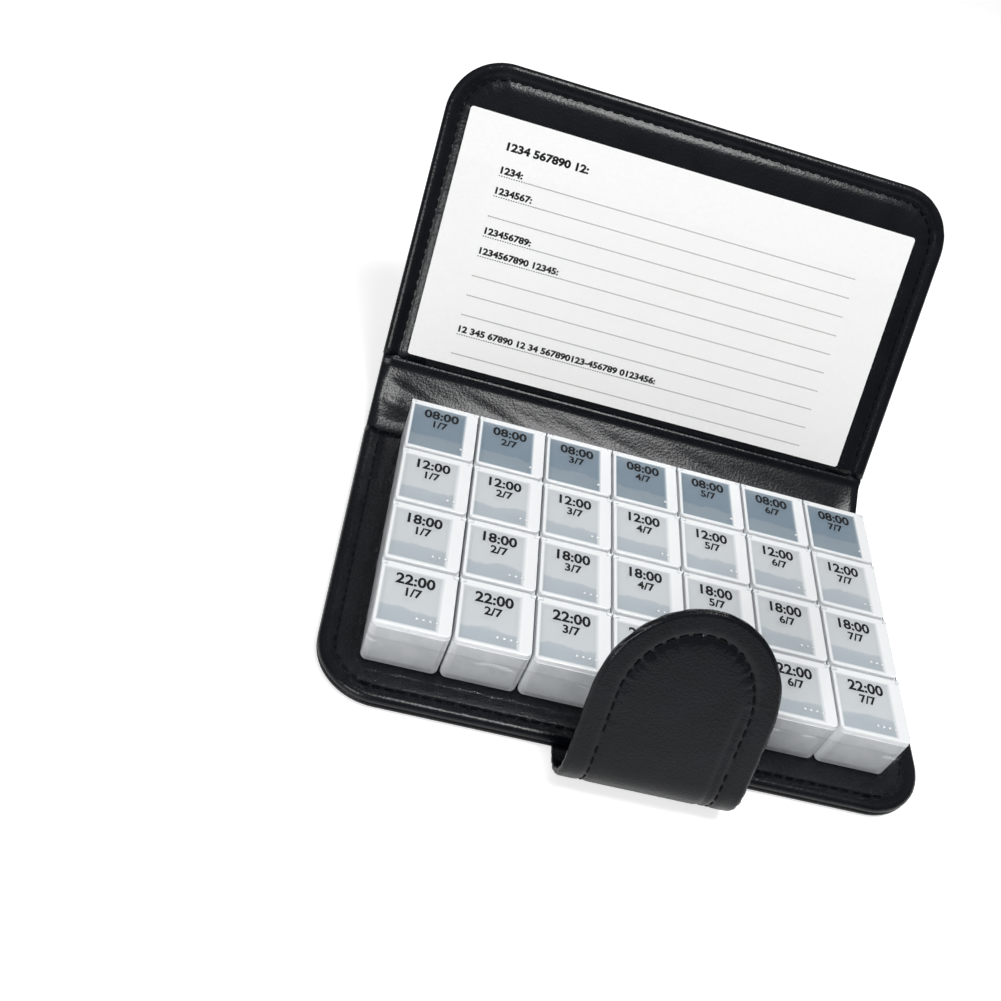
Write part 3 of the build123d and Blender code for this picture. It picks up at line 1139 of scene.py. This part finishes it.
for day in range(day_count):
    for time in lid_hours:
        node = f"day{day + 1}_{time}_lid"
        low, high = box(node)
        middle_x = (low[0] + high[0]) / 2
        middle_y = (low[1] + high[1]) / 2
        dots = []
        dot_faces = []
        for k in range(1 + list(lid_hours).index(time)):
            dot_x = middle_x + dots_place[0] - k * dot_pitch
            add_dot(dots, dot_faces, dot_x, middle_y + dots_place[1], high[2])
        dot_row = new_object(f"day{day + 1}_{time}_dots", dots, dot_faces, dot_plastic)
        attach(dot_row, node)
        points = []
        faces = []
        for shape, shift in (
            (hour_lines[time], line_gap / 2 + hour_height / 2),
            (day_lines[day], -line_gap / 2 - day_height / 2),
        ):
            add_shape(
                points,
                faces,
                shape,
                lambda x, y: (
                    middle_x + figures_shift[0] + x,
                    middle_y + figures_shift[1] + shift + y,
                    high[2] + print_lift,
                ),
            )
        figures = new_object(f"day{day + 1}_{time}_figures", points, faces, ink, smooth=False)
        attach(figures, node)


# Finishes of the pieces that keep their solid
def dress(node, material):
    mesh = frame["nodes"][node].data
    mesh.materials.clear()
    mesh.materials.append(material)


for day in range(day_count):
    dress(f"day{day + 1}_strip", strip_plastic)
    for time in lid_hours:
        dress(f"day{day + 1}_{time}_lid", clear_lid if time == "morning" else milky_lid)
dress("id_card", paper)
for node in ("tray_board", "cover_board"):
    dress(node, board)
dress("cover_keeper", steel)
dress("strap_magnet", magnet)


# Floor, light and camera
def ray_kinds(nodes, links):
    """Marks of rays from the camera, and of rays off something glossy or clear."""
    path = nodes.new("ShaderNodeLightPath")
    mirrored = combine(
        nodes, links, "MAXIMUM", path.outputs["Is Glossy Ray"], path.outputs["Is Transmission Ray"]
    )
    return path.outputs["Is Camera Ray"], mirrored


floor_size = 6000.0
floor_height = -0.05
floor_glow = 0.57
floor_glow_mirrored = 0.15


def make_floor():
    """Pale floor: white to the camera, with the object's soft shadow on it."""
    corners = [(x * floor_size, y * floor_size, floor_height) for x, y in square[0]]
    material, nodes, links, shader = new_material("floor")
    place = object_coordinates(nodes)
    cloud = noise(nodes, links, place, 8.0)
    tones = zip(noise_range, ((0.86, 0.86, 0.86), (0.9, 0.9, 0.9)))
    links.new(ramp(nodes, links, cloud, tones), shader.inputs["Base Color"])
    shader.inputs["Roughness"].default_value = 0.7
    glow = nodes.new("ShaderNodeEmission")
    seen, mirrored = ray_kinds(nodes, links)
    glow_seen = combine(nodes, links, "MULTIPLY", seen, floor_glow)
    glow_mirrored = combine(nodes, links, "MULTIPLY", mirrored, floor_glow_mirrored)
    links.new(combine(nodes, links, "MAXIMUM", glow_seen, glow_mirrored), glow.inputs["Strength"])
    total = nodes.new("ShaderNodeAddShader")
    links.new(shader.outputs["BSDF"], total.inputs[0])
    links.new(glow.outputs["Emission"], total.inputs[1])
    links.new(total.outputs["Shader"], nodes["Material Output"].inputs["Surface"])
    floor = new_object("floor", corners, [(0, 1, 2, 3)], material, smooth=False)


# Height up to which the white backdrop is mirrored, as a share of straight up
backdrop_height = 0.1


def make_world():
    """White to the camera and in the mirrored low backdrop; soft light from above, dimmer lower down."""
    world = bpy.data.worlds.new("studio")
    bpy.context.scene.world = world
    world.use_nodes = True
    nodes = world.node_tree.nodes
    links = world.node_tree.links
    sky = nodes["Background"]
    direction = nodes.new("ShaderNodeSeparateXYZ")
    links.new(nodes.new("ShaderNodeTexCoord").outputs["Generated"], direction.inputs["Vector"])
    tones = ((0.0, (0.06, 0.06, 0.065)), (0.9, (0.36, 0.36, 0.36)))
    links.new(ramp(nodes, links, direction.outputs["Z"], tones), sky.inputs["Color"])
    white = nodes.new("ShaderNodeBackground")
    white.inputs["Color"].default_value = (1, 1, 1, 1)
    seen, mirrored = ray_kinds(nodes, links)
    backdrop = spread(nodes, links, direction.outputs["Z"], 1, 0, 0.0, backdrop_height)
    mirrored_backdrop = combine(nodes, links, "MULTIPLY", mirrored, backdrop)
    mix = nodes.new("ShaderNodeMixShader")
    links.new(combine(nodes, links, "MAXIMUM", seen, mirrored_backdrop), mix.inputs["Fac"])
    links.new(sky.outputs["Background"], mix.inputs[1])
    links.new(white.outputs["Background"], mix.inputs[2])
    links.new(mix.outputs["Shader"], nodes["World Output"].inputs["Surface"])


def make_light(name, place, target, size, power):
    light = bpy.data.lights.new(name, "AREA")
    light.energy = power
    light.size = size * MM
    obj = bpy.data.objects.new(name, light)
    obj.location = Vector(place) * MM
    obj.rotation_euler = (Vector(target) - Vector(place)).to_track_quat("-Z", "Y").to_euler()
    bpy.context.scene.collection.objects.link(obj)


def make_camera():
    """Camera at the photograph's place: a line of sight and a roll about it."""
    place = Vector((-99.53, -236.07, 267.41))
    target = Vector((-44.94, 27.18, 10.0))
    roll = radians(22.18)
    camera = bpy.data.cameras.new("camera")
    camera.sensor_width = 36.0
    camera.lens = 41.823
    obj = bpy.data.objects.new("camera", camera)
    look = (target - place).to_track_quat("-Z", "Y").to_matrix()
    obj.matrix_world = Matrix.Translation(place * MM) @ (look @ Matrix.Rotation(roll, 3, "Z")).to_4x4()
    bpy.context.scene.collection.objects.link(obj)
    bpy.context.scene.camera = obj


make_floor()
make_world()
light_target = (0, 20, 20)
make_light("key", (125, -110, 850), light_target, size=270, power=4.6)
make_light("fill", (-450, -620, 380), light_target, size=300, power=2.5)
make_camera()
bpy.context.scene.view_settings.view_transform = "Standard"
bpy.context.scene.cycles.transparent_max_bounces = 16
